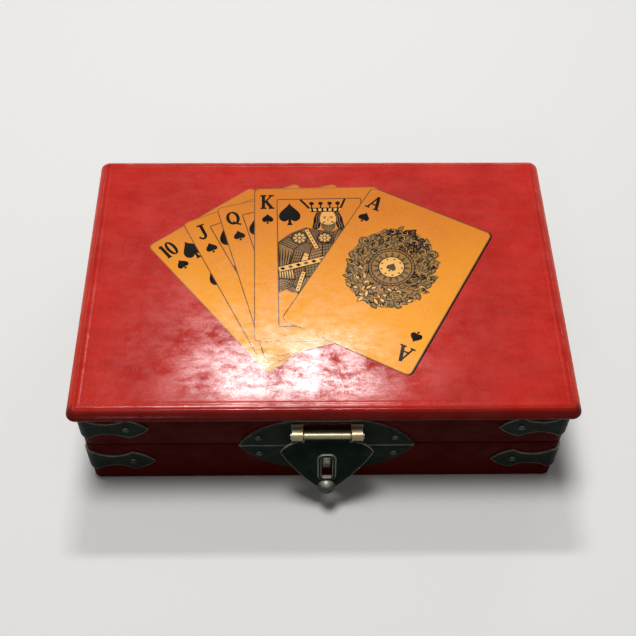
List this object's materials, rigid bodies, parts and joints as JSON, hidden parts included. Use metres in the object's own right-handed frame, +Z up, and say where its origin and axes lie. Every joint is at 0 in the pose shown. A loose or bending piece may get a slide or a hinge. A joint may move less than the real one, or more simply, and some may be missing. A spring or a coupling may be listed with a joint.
{
  "type": "playing card box",
  "caption": "Leather-covered wooden playing card box with a hinged lid, card wells, a dice channel and a half-moon hasp with a slotted tongue and a swivel staple.",
  "frame": {"origin": "centre of the underside that the box stands on", "axes": "+X to the right along the length, +Y to the hinged back, +Z up; the hasp is on the -Y side"},
  "size_m": [0.18, 0.1374, 0.0481],
  "materials": {
    "red_leather": "glazed, mottled red bonded leather with a fine grain",
    "felt": "short-pile dark felt",
    "wood": "plain sanded board, covered on every face that shows",
    "underside_paper": "black lining paper",
    "bracket_bronze": "blackened antique bronze, rubbed bright on its edges",
    "hasp_bronze": "blackened antique bronze, rubbed bright on its edges",
    "worn_bronze": "antique bronze worn bright by the fingers",
    "tack_bronze": "blackened bronze heads",
    "pin_steel": "plain bright pin"
  },
  "bodies": {
    "base": {"base_underside_paper": "underside_paper", "base_floor_board": "wood", "base_front_board": "wood", "base_back_board": "wood", "base_left_board": "wood", "base_right_board": "wood", "base_leather_wrap": "red_leather", "base_lining": "felt", "divider_left": "felt", "divider_right": "felt", "base_bracket_front_left": "bracket_bronze", "base_bracket_front_right": "bracket_bronze", "base_bracket_back_left": "bracket_bronze", "base_bracket_back_right": "bracket_bronze", "base_bracket_tacks": "tack_bronze", "hinge_base_leaf_left": "hasp_bronze", "hinge_base_leaf_right": "hasp_bronze", "base_hinge_tacks": "tack_bronze", "hasp_lower_plate": "hasp_bronze", "hasp_lower_rivets": "tack_bronze", "staple_washer": "hasp_bronze"},
    "lid": {"lid_top_board": "wood", "lid_front_board": "wood", "lid_back_board": "wood", "lid_left_board": "wood", "lid_right_board": "wood", "lid_leather_top": "red_leather", "lid_leather_wrap": "red_leather", "lid_lining": "felt", "lid_bracket_front_left": "bracket_bronze", "lid_bracket_front_right": "bracket_bronze", "lid_bracket_back_left": "bracket_bronze", "lid_bracket_back_right": "bracket_bronze", "lid_bracket_tacks": "tack_bronze", "hinge_lid_leaf_left": "hasp_bronze", "hinge_lid_leaf_right": "hasp_bronze", "hinge_pin_left": "pin_steel", "hinge_pin_right": "pin_steel", "lid_hinge_tacks": "tack_bronze", "hasp_upper_plate": "hasp_bronze", "hasp_upper_rivets": "tack_bronze", "hasp_pin": "pin_steel"},
    "tongue": {"hasp_tongue": "hasp_bronze", "tongue_knob": "worn_bronze"},
    "staple": {"turn_staple": "worn_bronze"}
  },
  "joints": [
    {"name": "lid_hinge", "type": "hinge", "parent": "base", "child": "lid", "pos_m": [0, 0.0619, 0.02475], "axis": [-1, 0, 0], "range_deg": [0, 180]},
    {"name": "tongue_hinge", "type": "hinge", "parent": "lid", "child": "tongue", "pos_m": [0.001, -0.0632, 0.0359], "axis": [-1, 0, 0], "range_deg": [-20.3, 160]},
    {"name": "staple_swivel", "type": "hinge", "parent": "base", "child": "staple", "pos_m": [0.001, -0.0598, 0.021], "axis": [0, -1, 0], "range_deg": [0, 90]}
  ]
}
